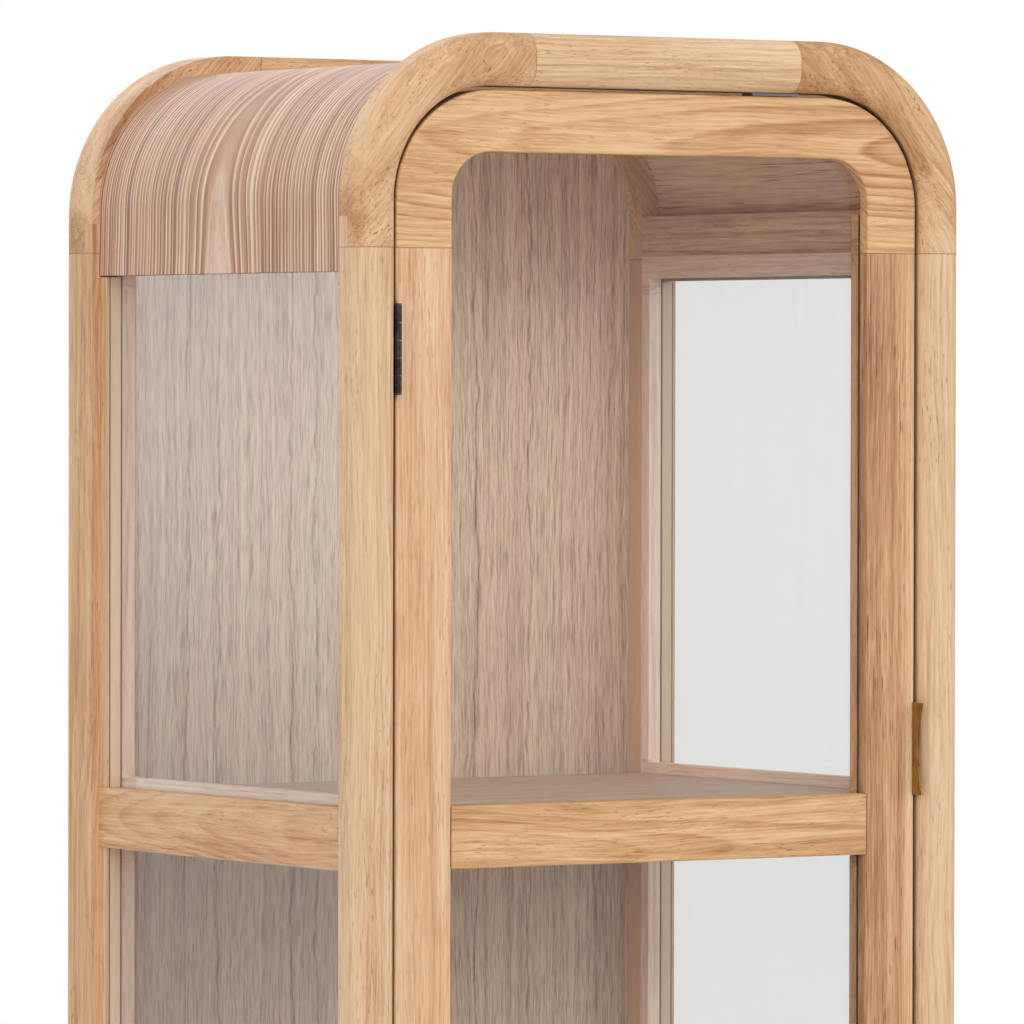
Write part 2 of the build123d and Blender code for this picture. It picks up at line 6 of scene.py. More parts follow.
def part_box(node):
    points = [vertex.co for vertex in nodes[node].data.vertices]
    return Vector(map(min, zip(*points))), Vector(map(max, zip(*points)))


# Display cabinet in pale solid wood: finishes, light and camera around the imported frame.
# Lengths are in metres. X runs left to right, Y from front to back, Z up, as in the frame.

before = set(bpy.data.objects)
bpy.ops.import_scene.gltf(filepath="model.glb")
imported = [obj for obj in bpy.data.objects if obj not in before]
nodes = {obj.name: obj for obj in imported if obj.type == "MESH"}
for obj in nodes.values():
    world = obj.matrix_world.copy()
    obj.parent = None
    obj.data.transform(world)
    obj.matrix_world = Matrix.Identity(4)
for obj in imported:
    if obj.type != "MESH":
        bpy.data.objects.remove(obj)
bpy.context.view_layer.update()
MM = 0.001
UP = (0, 0, 1)
ACROSS = (1, 0, 0)
BACKWARD = (0, 1, 0)
FORWARD = (0, -1, 0)

# Camera: the photograph's angle, from the left of the front and just under the top
CAMERA_PLACE = (-3.1249, -4.9079, 1.5111)
CAMERA_YAW = 32.5045
CAMERA_PITCH = -0.9142
CAMERA_ROLL = 0.1171
CAMERA_LENS = 287.03
CAMERA_NEAR = 0.1
CAMERA_FAR = 200.0

# Solid wood: its edges, the relief of its grain, how much that wanders in a metre across and along, how far
# the growth rings shift where they are uneven, the glue lines, and the painted shade in the gap round the
# door
HANDLED_EDGE = 1.2 * MM
SOLID_EDGE = 0.6 * MM
GRAIN_RELIEF = 0.12 * MM
WANDER_WAVES = (14.0, 3.2)
WANDER_SWING = 4
RING_SHIFT = 3.4
GLUE_CORE = 0.15 * MM
GLUE_REACH = 0.55 * MM
GLUE_SHARE = 0.55
GAP_SHADE_REACH = 5 * MM
GAP_SHADE_SHARE = 0.95

# Where the main colour lies between pale and dark, and how strongly an inner face takes its own colour
MAIN_TONE = 0.42
INNER_SHARE = 0.75

# Uneven factors that scatter the boards over the noise by their seeds, and how far
SCATTER = (12.9898, 78.233, 37.719)
SCATTER_REACH = 0.7

# Veneer: where its flame stands from front to back, its tip along the bend, and its rings per metre
FLAME_PLACE = -0.006
FLAME_TOP = 1.618
FLAME_DEPTH = 0.048
FLAME_SLANT = 0.036
FLAME_RIM = 0.4 * MM
VENEER_RINGS = 235.0
VENEER_CROWDING = 200.0
VENEER_SHIFT = 1.7
VENEER_WANDER = 10 * MM
VENEER_EDGE = 0.4 * MM

# Thin panels: where long dark lines run up the back, their width, and how far they and the dashes stray
PANEL_VEINS = (-0.160, -0.134, -0.071, -0.050, 0.012, 0.082, 0.130)
VEIN_CORE = 0.3 * MM
VEIN_REACH = 1.5 * MM
VEIN_SHARE = 0.42
VEIN_SHAKE = 4 * MM
VEIN_BOW = 9 * MM
PANEL_WANDER = 20 * MM
DASH_CURL = 3 * MM

# The heights between which the back panel's painted shade fades from darker to paler, and how strong it is
PANEL_DARK_BELOW = 1.28
PANEL_PALE_ABOVE = 1.62
LOW_SHADE_SHARE = 0.30

# Metal fittings
METAL_WORN_EDGE = 0.5 * MM
METAL_EDGE = 0.25 * MM
SCRATCH_RELIEF = 0.05 * MM
SCRATCH_WAVES = (600.0, 600.0, 36.0)

# Light: the even part, how bright shiny surfaces mirror the surround, and where that part is bright
WORLD_LEVEL = 0.50
MIRRORED_LOW = 0.25
MIRRORED_HIGH = 2.5
BRIGHT_SIDE = (-0.54, 0.84, 0.0)
BRIGHT_START = 0.2
BRIGHT_FULL = 0.9
HORIZON_LOW = -0.10
HORIZON_HIGH = 0.012
HORIZON_CURVE = 1.9
LAMP_SHARE = 0.58
LAMP_AIM = (0, 0, 1.1)

# Floor
FLOOR_COLOUR = (0.88, 0.88, 0.87, 1)
FLOOR_SPECK = (0.91, 0.91, 0.9, 1)
FLOOR_ROUGHNESS = 0.7
FLOOR_RELIEF = 0.2 * MM
FLOOR_SIDES = 96
FLOOR_RADIUS = 3.6
FLOOR_FADE_START = 1.3
FLOOR_FADE_END = 0.97 * FLOOR_RADIUS

# Nearly all of a noise lies between these
NOISE_LOW = 0.3
NOISE_HIGH = 0.7

# What share of its surroundings an open and a closed place sees, and how the eased normal leans on the
# face itself on flats and on edges
OPEN_SHARE = 0.60
CLOSED_SHARE = 0.12
FLAT_COSINE = 0.99
EDGE_COSINE = 0.80


def srgb(red, green, blue):
    """A colour given in 0 to 255, as the linear values that shaders take."""
    def linear(value):
        share = value / 255
        return share / 12.92 if share <= 0.04045 else ((share + 0.055) / 1.055) ** 2.4

    return (linear(red), linear(green), linear(blue), 1.0)


class Shading:
    """Short calls for the shader nodes that the finishes and the surround use."""

    def __init__(self, tree):
        self.tree = tree
        self.tree.nodes.clear()

    def add(self, kind, **settings):
        node = self.tree.nodes.new(kind)
        for name, value in settings.items():
            setattr(node, name, value)
        return node

    def link(self, source, target):
        self.tree.links.new(source, target)

    def feed(self, socket, value):
        """Joins a socket to another one, or sets it to a plain value."""
        if isinstance(value, bpy.types.NodeSocket):
            self.link(value, socket)
        elif value is not None:
            socket.default_value = value

    def math(self, operation, a, b=None, c=None, clamp=False):
        node = self.add("ShaderNodeMath", operation=operation, use_clamp=clamp)
        for socket, value in zip(node.inputs, (a, b, c)):
            self.feed(socket, value)
        return node.outputs[0]

    def plus(self, a, b, clamp=False):
        return self.math("ADD", a, b, clamp=clamp)

    def minus(self, a, b):
        return self.math("SUBTRACT", a, b)

    def times(self, a, b):
        return self.math("MULTIPLY", a, b)

    def vector(self, operation, a, b=None):
        node = self.add("ShaderNodeVectorMath", operation=operation)
        self.feed(node.inputs[0], a)
        self.feed(node.inputs[1], b)
        return node.outputs["Value" if operation in ("DOT_PRODUCT", "LENGTH") else "Vector"]

    def dot(self, place, axis):
        """How far a place lies along an axis."""
        return self.vector("DOT_PRODUCT", place, Vector(axis))

    def join(self, x, y, z):
        node = self.add("ShaderNodeCombineXYZ")
        for socket, value in zip(node.inputs, (x, y, z)):
            self.feed(socket, value)
        return node.outputs[0]

    def noise(self, place, scale=1.0, detail=2.0, roughness=0.5):
        node = self.add("ShaderNodeTexNoise")
        self.feed(node.inputs["Vector"], place)
        node.inputs["Scale"].default_value = scale
        node.inputs["Detail"].default_value = detail
        node.inputs["Roughness"].default_value = roughness
        return node.outputs["Fac"]

    def stretched(self, wide, along, waves, start=0.0, detail=2.0, roughness=0.5):
        """Noise over two places. waves is how much it changes in a metre of each, start where it begins."""
        place = self.join(self.times(wide, waves[0]), start, self.times(along, waves[1]))
        return self.noise(place, detail=detail, roughness=roughness)

    def sway(self, noise, reach):
        """Swings a noise to both sides of 0, up to half of reach."""
        return self.times(self.minus(noise, 0.5), reach)

    def between(self, value, low, high, to_low=0.0, to_high=1.0):
        """Maps low..high to to_low..to_high, held at the ends."""
        node = self.add("ShaderNodeMapRange", clamp=True)
        self.feed(node.inputs["Value"], value)
        for name, number in (("From Min", low), ("From Max", high), ("To Min", to_low), ("To Max", to_high)):
            self.feed(node.inputs[name], number)
        return node.outputs["Result"]

    def spread(self, noise, to_low=0.0, to_high=1.0):
        """Maps the range of a noise to to_low..to_high."""
        return self.between(noise, NOISE_LOW, NOISE_HIGH, to_low, to_high)

    def ring_line(self, saw, power, crest):
        """One growth ring from 0 to 1, which darkens by a power up to its crest and then falls off."""
        return self.times(self.math("POWER", saw, power), self.between(saw, 1.0, crest))

    def ramp(self, value, stops):
        """A colour ramp from (place, colour) pairs."""
        node = self.add("ShaderNodeValToRGB")
        elements = node.color_ramp.elements
        while len(elements) < len(stops):
            elements.new(0.5)
        for element, (position, colour) in zip(elements, stops):
            element.position = position
            element.color = colour
        self.feed(node.inputs["Fac"], value)
        return node.outputs["Color"]

    def blend(self, share, a, b):
        """Mixes two numbers."""
        node = self.add("ShaderNodeMix", data_type="FLOAT")
        self.feed(node.inputs[0], share)
        self.feed(node.inputs[2], a)
        self.feed(node.inputs[3], b)
        return node.outputs[0]

    def mix(self, share, a, b):
        """Mixes two colours."""
        node = self.add("ShaderNodeMix", data_type="RGBA")
        self.feed(node.inputs["Factor"], share)
        self.feed(node.inputs[6], a)
        self.feed(node.inputs[7], b)
        return node.outputs[2]

    def choose(self, share, a, b):
        """Mixes two shaders."""
        node = self.add("ShaderNodeMixShader")
        self.feed(node.inputs[0], share)
        self.link(a, node.inputs[1])
        self.link(b, node.inputs[2])
        return node.outputs[0]

    def bump(self, height, strength, distance, normal=None):
        node = self.add("ShaderNodeBump")
        node.inputs["Strength"].default_value = strength
        node.inputs["Distance"].default_value = distance
        self.feed(node.inputs["Height"], height)
        self.feed(node.inputs["Normal"], normal)
        return node.outputs[0]

    def eased_normal(self, radius):
        """The normal with sharp edges rounded over a small radius."""
        node = self.add("ShaderNodeBevel", samples=4)
        node.inputs["Radius"].default_value = radius
        return node.outputs[0]

    def crevice(self, distance):
        """Near 1 in narrow gaps and inner corners, and 0 on open faces. It masks painted shade."""
        node = self.add("ShaderNodeAmbientOcclusion", samples=4)
        node.inputs["Distance"].default_value = distance
        return self.between(node.outputs["AO"], OPEN_SHARE, CLOSED_SHARE)

    def edge_wear(self, radius):
        """Near 1 along outer edges and 0 on flat faces."""
        eased = self.eased_normal(radius)
        flat = self.add("ShaderNodeNewGeometry").outputs["True Normal"]
        return self.between(self.vector("DOT_PRODUCT", eased, flat), FLAT_COSINE, EDGE_COSINE)


class Finish(Shading):
    """One material: a principled shader and the object's own coordinates, in metres."""

    def __init__(self, name):
        self.material = bpy.data.materials.new(name)
        self.material.use_nodes = True
        super().__init__(self.material.node_tree)
        self.output = self.add("ShaderNodeOutputMaterial")
        self.shader = self.add("ShaderNodeBsdfPrincipled")
        self.link(self.shader.outputs[0], self.output.inputs["Surface"])
        self.place = self.add("ShaderNodeTexCoord").outputs["Object"]

    def cover(self, colour, roughness, relief, strength, depth, edge=None, specular=0.5):
        """Gives the shader its colour, roughness and relief, with the edges eased over a small radius."""
        normal = self.eased_normal(edge) if edge else None
        self.feed(self.shader.inputs["Base Color"], colour)
        self.feed(self.shader.inputs["Roughness"], roughness)
        self.feed(self.shader.inputs["Normal"], self.bump(relief, strength, depth, normal))
        self.shader.inputs["Specular IOR Level"].default_value = specular

    def see_through(self, share, colour=(1, 1, 1, 1)):
        """Lets a share of the light pass straight through."""
        clear = self.add("ShaderNodeBsdfTransparent")
        clear.inputs["Color"].default_value = colour
        mixed = self.choose(share, self.shader.outputs[0], clear.outputs[0])
        self.link(mixed, self.output.inputs["Surface"])


class Board(Finish):
    """The finish of one board. Its places lie along the grain, wide across it and deep through it, and are
    measured from the board's middle."""

    def __init__(self, name, grain, face, seed, waviness, turned, bands):
        super().__init__(name)
        along_axis = Vector(grain).normalized()
        deep_axis = Vector(face).normalized()
        self.shift = Vector([math.sin(seed * factor) for factor in SCATTER]) * SCATTER_REACH
        low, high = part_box(name)
        place = self.vector("SUBTRACT", self.place, (low + high) / 2)
        self.length = self.dot(place, along_axis)
        self.deep = self.dot(place, deep_axis)
        along = self.length
        wide = self.dot(place, along_axis.cross(deep_axis))
        if turned:
            height = self.dot(self.place, UP)
            share = 0.0
            for bottom, top in bands:
                inside = self.math("COMPARE", height, (bottom + top) / 2, (top - bottom) / 2)
                share = self.plus(share, inside)
            sideways = self.dot(place, turned)
            along, wide = self.blend(share, along, sideways), self.blend(share, wide, along)
        self.along = self.plus(along, self.shift.x)

        # The grain wanders slowly along the board
        across_waves, along_waves = WANDER_WAVES
        start = 9 * self.shift
        slow = self.join(self.math("MULTIPLY_ADD", wide, across_waves, start.y),
                         self.math("MULTIPLY_ADD", self.deep, across_waves, start.z),
                         self.times(self.along, along_waves))
        self.wide = self.plus(wide, self.sway(self.noise(slow, detail=3.0), waviness * WANDER_SWING))

    def field(self, waves, start=0.0, detail=2.0, roughness=0.5):
        """Noise stretched along the grain. waves is how much it changes in a metre across and along it."""
        across_waves, along_waves = waves
        place = self.join(self.math("MULTIPLY_ADD", self.wide, across_waves, start),
                          self.times(self.deep, across_waves), self.times(self.along, along_waves))
        return self.noise(place, detail=detail, roughness=roughness)

    def rings(self, per_metre, pith, aside, lean):
        """Growth rings about the tree's heart, some strong and some faint."""
        fall = self.math("MULTIPLY_ADD", self.length, lean, self.plus(self.deep, pith))
        sideways = self.plus(self.wide, aside)
        far = self.math("SQRT", self.plus(self.math("POWER", sideways, 2.0), self.math("POWER", fall, 2.0)))
        uneven = self.stretched(far, self.along, waves=(55.0, 1.4), start=self.shift.x)
        saw = self.math("FRACT", self.math("MULTIPLY_ADD", far, per_metre, self.times(uneven, RING_SHIFT)))
        late = self.ring_line(saw, 2.0, 0.88)
        return self.times(late, self.between(uneven, 0.32, 0.7, 0.15, 1.1))


def dress(node, material):
    """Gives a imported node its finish."""
    for slot in nodes[node].material_slots:
        slot.material = material


def wood(name, palette, grain, face, seed, rings=230.0, pith=0.09, aside=0.2, lean=0.0, waviness=0.003,
         ring_share=0.5, pores=0.5, pore_length=1.0, streaks=0.5, patches=0.25, glue_lines=(), turned=None,
         bands=(), inner=None, painted_gap_shade=False):
    """Dresses a node in sawn wood. grain is the direction of the fibres, face the direction away from the
    tree's heart, and seed picks the board. rings is in growth rings per metre. The heart lies pith from the
    board's middle through it and aside across it, and falls away by lean along it, which makes arches.
    waviness is how far the grain wanders. ring_share, pores, streaks and patches are how strongly each
    shows. A thin line of glue lies at each axis and distance in glue_lines. Between the heights in bands,
    the grain lies along the axis turned instead. inner is a distance from the middle plane of the cabinet
    and the colour that the wood takes nearer to it. shadows paints dark shade into the narrow gap round the
    door."""
    f = Board(name, grain, face, seed, waviness, turned, bands)

    # Fibres, flecks, streaks, patches and short pores run with the grain
    fibre = f.field(waves=(950.0, 24.0), detail=3.0, roughness=0.65)
    flecks = f.field(waves=(540.0, 36.0), start=f.shift.x * 50, roughness=0.6)
    streak = f.field(waves=(150.0, 3.2), start=f.shift.z * 40, detail=3.0, roughness=0.6)
    patch = f.field(waves=(26.0, 5.0), start=f.shift.x * 20, detail=3.0, roughness=0.55)
    pore_noise = f.field(waves=(900.0, 110.0 / pore_length), start=f.shift.y * 70, detail=1.0, roughness=0.4)
    pore_crowd = f.between(f.field(waves=(60.0, 9.0)), 0.40, 0.62, 0.1, 1.0)
    pore = f.times(f.between(pore_noise, 0.61, 0.70), pore_crowd)

    # The tone is pale at 0 and dark at 1
    ring_tone = f.rings(rings, pith, aside, lean)
    tone = f.math("MULTIPLY_ADD", ring_tone, ring_share, f.between(streak, 0.32, 0.70, -0.05, streaks))
    tone = f.plus(tone, f.between(patch, 0.36, 0.66, -0.05, patches))
    tone = f.plus(tone, f.spread(flecks, -0.16, 0.20))
    tone = f.plus(tone, f.spread(fibre, -0.24, 0.28), clamp=True)
    colour = f.ramp(tone, ((0.0, palette["pale"]), (MAIN_TONE, palette["main"]), (1.0, palette["dark"])))
    colour = f.mix(f.times(pore, pores), colour, palette["pore"])
    if inner:
        distance, tint = inner
        nearer = f.math("LESS_THAN", f.math("ABSOLUTE", f.dot(f.place, ACROSS)), distance)
        colour = f.mix(f.times(nearer, INNER_SHARE), colour, tint)

    # Handled edges are a little paler, and a thin line of glue shows at each joint
    wear = f.times(f.edge_wear(HANDLED_EDGE), f.between(streak, 0.35, 0.65, 0.1, 0.42))
    colour = f.mix(wear, colour, palette["pale"])
    for axis, distance in glue_lines:
        off = f.math("ABSOLUTE", f.minus(f.dot(f.place, axis), distance))
        colour = f.mix(f.between(off, GLUE_CORE, GLUE_REACH, GLUE_SHARE, 0.0), colour, palette["pore"])
    # Painted shade: the narrow gap round the door and inner corners are painted dark
    if painted_gap_shade:
        colour = f.mix(f.times(f.crevice(GAP_SHADE_REACH), GAP_SHADE_SHARE), colour, GAP_SHADE)
    relief = f.minus(f.times(fibre, 0.5), pore)
    f.cover(colour, f.spread(fibre, 0.57, 0.44), relief, strength=0.28, depth=GRAIN_RELIEF, edge=SOLID_EDGE,
            specular=0.32)
    dress(name, f.material)


def wood_colours(pale, main, dark, pore):
    """The colours of one kind of board: its pale, main and dark grain, and its pores."""
    return dict(pale=srgb(*pale), main=srgb(*main), dark=srgb(*dark), pore=srgb(*pore))


# Wood colours, the pale inner faces of the side stiles, and the painted shade in the gap round the door
HONEY = wood_colours((240, 208, 170), (226, 186, 146), (192, 142, 98), (142, 94, 60))
BLOCK = wood_colours((236, 200, 158), (220, 176, 132), (186, 135, 90), (128, 82, 50))
DOOR = wood_colours((240, 200, 150), (221, 173, 123), (184, 129, 80), (132, 84, 50))
PEACH = wood_colours((245, 211, 171), (232, 189, 149), (202, 152, 110), (150, 100, 66))
SIDE = wood_colours((238, 200, 158), (224, 177, 136), (186, 134, 90), (142, 94, 60))
BROWN = wood_colours((228, 184, 142), (204, 155, 116), (158, 110, 76), (98, 62, 40))
TAN = wood_colours((236, 200, 158), (221, 176, 134), (178, 130, 88), (116, 76, 46))
BLUSH = wood_colours((246, 226, 208), (236, 210, 192), (206, 174, 154), (136, 102, 84))
LINING = wood_colours((230, 200, 172), (208, 172, 144), (168, 128, 100), (88, 60, 46))
STAVE = wood_colours((246, 222, 196), (232, 200, 170), (196, 158, 128), (88, 60, 46))
CREAM = srgb(242, 216, 188)
GAP_SHADE = srgb(58, 28, 10)

# Front and rear rings
block_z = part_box("front_corner_left")[0].z
rail_left, rail_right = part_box("front_top_rail")[0].x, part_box("front_top_rail")[1].x
inner_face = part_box("rear_post_right")[0].x
joint_line = ((UP, block_z),)


def ring(name, palette, corner_palette, facing, seed, rail_seed, patches, painted_gap_shade=False, inner=None):
    """Dresses the posts, corner blocks and rails of one ring."""
    for side, sign, rail_end, streaks in (("left", -1, rail_left, 0.4), ("right", 1, rail_right, 0.3)):
        wood(f"{name}_post_{side}", palette, UP, facing, seed + sign + 1, ring_share=0.45, patches=patches,
             waviness=0.007, streaks=streaks, glue_lines=joint_line, painted_gap_shade=painted_gap_shade, inner=inner)
        wood(f"{name}_corner_{side}", corner_palette, (-sign, 0, 1.1), facing, seed + sign + 12,
             ring_share=0.25, patches=0.7, streaks=0.3, pores=0.8, pore_length=0.45, waviness=0.012,
             glue_lines=joint_line + ((ACROSS, rail_end),), painted_gap_shade=painted_gap_shade)
    wood(f"{name}_top_rail", palette, ACROSS, (0, 1, 0.4), rail_seed, ring_share=0.4, patches=0.2,
         streaks=0.45, pore_length=0.7, glue_lines=((ACROSS, rail_left), (ACROSS, rail_right)),
         painted_gap_shade=painted_gap_shade)
    wood(f"{name}_bottom_rail", palette, ACROSS, (0, 1, 0.3), rail_seed + 1)


rear_lining = (inner_face + 1 * MM, LINING["main"])
ring("front", HONEY, BLOCK, BACKWARD, seed=1, rail_seed=31, patches=0.1, painted_gap_shade=True)
ring("rear", TAN, TAN, FORWARD, seed=5, rail_seed=33, patches=0.3, inner=rear_lining)

# Shell
VENEER_STOPS = ((0.0, srgb(242, 214, 196)), (0.28, srgb(217, 176, 152)), (0.60, srgb(186, 139, 110)),
                (1.0, srgb(140, 91, 62)))
VENEER_WARM = srgb(206, 146, 98)
VENEER_PORE = srgb(120, 80, 58)


def veneer():
    """Striped veneer that wraps over the shell: fine lines by the rings, bold ones and a flame between."""
    f = Finish("veneer_stripes")
    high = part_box("veneer_skin")[1]
    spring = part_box("side_top_rail_left")[1].z
    radius = high.z - spring
    centre_x = high.x - radius
    split = f.add("ShaderNodeSeparateXYZ")
    f.link(f.place, split.inputs[0])
    x, y, z = split.outputs
    out = f.math("ABSOLUTE", x)
    right = f.math("MAXIMUM", f.minus(out, centre_x), 0.0)
    rise = f.math("MAXIMUM", f.minus(z, spring), 0.0)
    turn = f.times(f.math("ARCTAN2", rise, right), radius)
    flat = f.math("MAXIMUM", f.minus(centre_x, out), 0.0)
    along = f.plus(f.plus(f.math("MINIMUM", z, spring), turn), flat)

    # The figure: growth rings cut at a slant, so that they close over a flame near the middle
    wander = f.sway(f.stretched(y, along, waves=(9.0, 6.0), start=4.7), VENEER_WANDER)
    across = f.plus(f.minus(y, FLAME_PLACE), wander)
    heart = f.math("SQRT", f.math("MULTIPLY_ADD", across, across, FLAME_DEPTH ** 2))
    slant = f.times(f.minus(along, FLAME_TOP), FLAME_SLANT)
    far = f.plus(f.minus(heart, FLAME_DEPTH), slant)
    crowded = f.times(f.math("POWER", f.math("MAXIMUM", far, 0.0), 2.0), VENEER_CROWDING)
    ring_place = f.plus(f.times(far, VENEER_RINGS), crowded)
    uneven = f.stretched(ring_place, along, waves=(0.9, 2.0), start=3.1)
    ring_place = f.math("MULTIPLY_ADD", uneven, VENEER_SHIFT, ring_place)
    saw = f.math("FRACT", ring_place)
    strength = f.stretched(f.math("FLOOR", ring_place), along, waves=(3.7, 3.0), start=8.3, detail=1.0)
    outside = f.between(far, FLAME_SLANT * 0.03, FLAME_SLANT * 0.05)
    stripe = f.times(f.ring_line(saw, 1.2, 0.84), outside)
    stripe = f.times(stripe, f.spread(strength, 0.45, 1.35))
    pale_line = f.times(f.between(f.math("ABSOLUTE", f.minus(saw, 0.10)), 0.16, 0.05), outside)
    pale_line = f.times(pale_line, f.between(strength, 0.35, 0.65, 1.2, 0.4))
    flame = f.between(far, FLAME_RIM, -FLAME_RIM)

    # Fine lines, fibres, pores and patches between the rings
    fine = f.stretched(across, along, waves=(700.0, 12.0), detail=3.0, roughness=0.7)
    fibre = f.stretched(across, along, waves=(2000.0, 70.0), roughness=0.6)
    pore_noise = f.stretched(across, along, waves=(1500.0, 130.0), detail=1.0)
    pore = f.times(f.between(pore_noise, 0.58, 0.68), f.between(saw, 0.2, 0.7, 0.3, 1.0))
    patch = f.stretched(across, along, waves=(30.0, 6.0), detail=3.0)
    warm = f.stretched(across, along, waves=(60.0, 3.0), start=9.0)

    # The tone is pale at 0 and dark at 1
    tone = f.math("MULTIPLY_ADD", stripe, 1.15, f.spread(fine, -0.04, 0.36))
    tone = f.plus(tone, f.spread(fibre, -0.08, 0.08))
    tone = f.minus(tone, f.times(pale_line, 0.30))
    tone = f.minus(tone, f.times(flame, 0.12))
    tone = f.plus(tone, f.between(patch, 0.35, 0.7, -0.06, 0.10), clamp=True)
    colour = f.ramp(tone, VENEER_STOPS)
    colour = f.mix(f.between(warm, 0.52, 0.68, 0.0, 0.40), colour, VENEER_WARM)
    colour = f.mix(f.times(pore, 0.4), colour, VENEER_PORE)
    relief = f.minus(f.times(fibre, 0.6), f.math("MULTIPLY_ADD", stripe, 0.5, pore))
    f.cover(colour, f.between(stripe, 0.0, 0.8, 0.56, 0.46), relief, strength=0.35, depth=GRAIN_RELIEF,
            edge=VENEER_EDGE)
    dress("veneer_skin", f.material)


veneer()
wood("shell_staves", STAVE, BACKWARD, UP, 41, pores=0.9, pore_length=6.0)

# Back panel and shelves
PANEL_DARK = srgb(118, 76, 52)
PANEL_LOW_SHADE = srgb(76, 46, 30)
BACK_TINTS = (srgb(250, 219, 196), srgb(248, 223, 196))
SHELF_TINTS = (srgb(214, 184, 164), srgb(210, 186, 162))


def panel(name, grain, face, seed, tints, veins=(), low_shade=False):
    """Dresses a node in thin greyed veneer with short dark dashes and broad bands in two pale tints. veins
    are the places of long dark lines, and aged paints shade low down, so the panel grows darker towards the
    bottom."""
    f = Finish(name)
    along = f.plus(f.dot(f.place, grain), seed * 0.37)
    across = f.dot(f.place, ACROSS)
    wide = f.dot(f.place, Vector(grain).cross(Vector(face)))
    wander = f.sway(f.stretched(wide, along, waves=(9.0, 3.0), start=seed, detail=3.0), PANEL_WANDER)
    wide = f.plus(wide, wander)

    # Long dark lines that shake and bow on their way
    shaky = f.stretched(wide, along, waves=(30.0, 45.0), start=seed, detail=3.0, roughness=0.6)
    bowed = f.stretched(wide, along, waves=(8.0, 9.0), start=seed + 3.0, detail=1.0)
    drift = f.plus(f.between(shaky, 0.0, 1.0, -VEIN_SHAKE, VEIN_SHAKE),
                   f.between(bowed, 0.0, 1.0, -VEIN_BOW, VEIN_BOW))
    line = 0.0
    for vein in veins:
        off = f.math("ABSOLUTE", f.plus(f.minus(across, vein), drift))
        line = f.math("MAXIMUM", line, f.between(off, VEIN_CORE, VEIN_REACH, VEIN_SHARE, 0.0))
    line = f.times(line, f.between(shaky, 0.35, 0.6, 0.45, 1.0))

    # Dashes that are denser where the arches of the growth rings are dark, fibres and streaks
    leaf = f.stretched(wide, along, waves=(9.0, 0.35), start=seed + 5.0, detail=0.0)
    arch = f.ring_line(f.math("FRACT", f.math("MULTIPLY_ADD", leaf, 70.0, along)), 2.0, 0.85)
    curl = f.stretched(wide, along, waves=(90.0, 75.0), start=seed)
    swayed = f.math("MULTIPLY_ADD", curl, DASH_CURL, wide)
    dash_noise = f.stretched(swayed, along, waves=(760.0, 34.0), start=seed)
    dash = f.times(f.between(dash_noise, 0.44, 0.66), f.between(arch, 0.0, 0.8, 0.75, 1.0))
    fibre = f.stretched(swayed, along, waves=(900.0, 90.0), start=seed, detail=3.0, roughness=0.6)
    streak = f.stretched(wide, along, waves=(190.0, 2.2), start=seed, detail=3.0)

    # The tone is pale at 0 and dark at 1
    tone = f.plus(f.times(dash, 0.46), f.spread(fibre, -0.12, 0.20))
    tone = f.plus(tone, f.spread(streak, -0.10, 0.30))
    tone = f.plus(tone, line, clamp=True)
    band = f.stretched(wide, along, waves=(30.0, 1.2), start=seed + 2.0)
    colour = f.mix(tone, f.mix(f.between(band, 0.42, 0.58), *tints), PANEL_DARK)
    # Painted shade: the back panel is painted darker low down, where the shelves shade it, and paler towards
    # the top
    if low_shade:
        low = f.between(f.dot(f.place, UP), PANEL_DARK_BELOW, PANEL_PALE_ABOVE, LOW_SHADE_SHARE, 0.0)
        colour = f.mix(low, colour, PANEL_LOW_SHADE)
    relief = f.minus(f.times(fibre, 0.4), f.plus(dash, line))
    f.cover(colour, f.spread(fibre, 0.62, 0.54), relief, strength=0.3, depth=GRAIN_RELIEF, edge=VENEER_EDGE,
            specular=0.35)
    dress(name, f.material)


panel("back_panel", UP, BACKWARD, 1.0, BACK_TINTS, PANEL_VEINS, low_shade=True)
for number, board in enumerate(("upper_shelf", "lower_shelf", "bottom_board")):
    panel(board, ACROSS, UP, 2.0 + number, SHELF_TINTS)
wood("shelf_cleats", LINING, BACKWARD, UP, 76)

# Glazed sides
RAIL_LEVELS = ("top", "upper", "lower", "bottom")
BEAD_REACH = 10 * MM


def rail_bands(pattern):
    """The heights of the beads that lie on and under each rail of a row."""
    rails = [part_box(pattern.format(level)) for level in RAIL_LEVELS]
    return [(low.z - BEAD_REACH, high.z + BEAD_REACH) for low, high in rails]


def glazed_side(side, sign):
    """Dresses the rails, stiles and beads of one side."""
    inward = (-sign, 0, 0)
    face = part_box(f"side_stiles_{side}")[1 if sign > 0 else 0].x * sign
    wood(f"side_top_rail_{side}", LINING, BACKWARD, inward, 50 + sign)
    for number, level in enumerate(RAIL_LEVELS[1:]):
        wood(f"side_{level}_rail_{side}", SIDE, BACKWARD, inward, 53 + 2 * number + sign, rings=330.0,
             pith=0.05, aside=0.004, lean=0.05, waviness=0.006, ring_share=0.75)
    wood(f"side_stiles_{side}", HONEY, UP, inward, 60 + sign, patches=0.15, inner=(face - 1 * MM, CREAM))
    wood(f"side_beads_{side}", BLUSH, UP, inward, 63 + sign, pores=0.25, streaks=0.4, turned=BACKWARD,
         bands=rail_bands(f"side_{{}}_rail_{side}"))


glazed_side("left", -1)
glazed_side("right", 1)


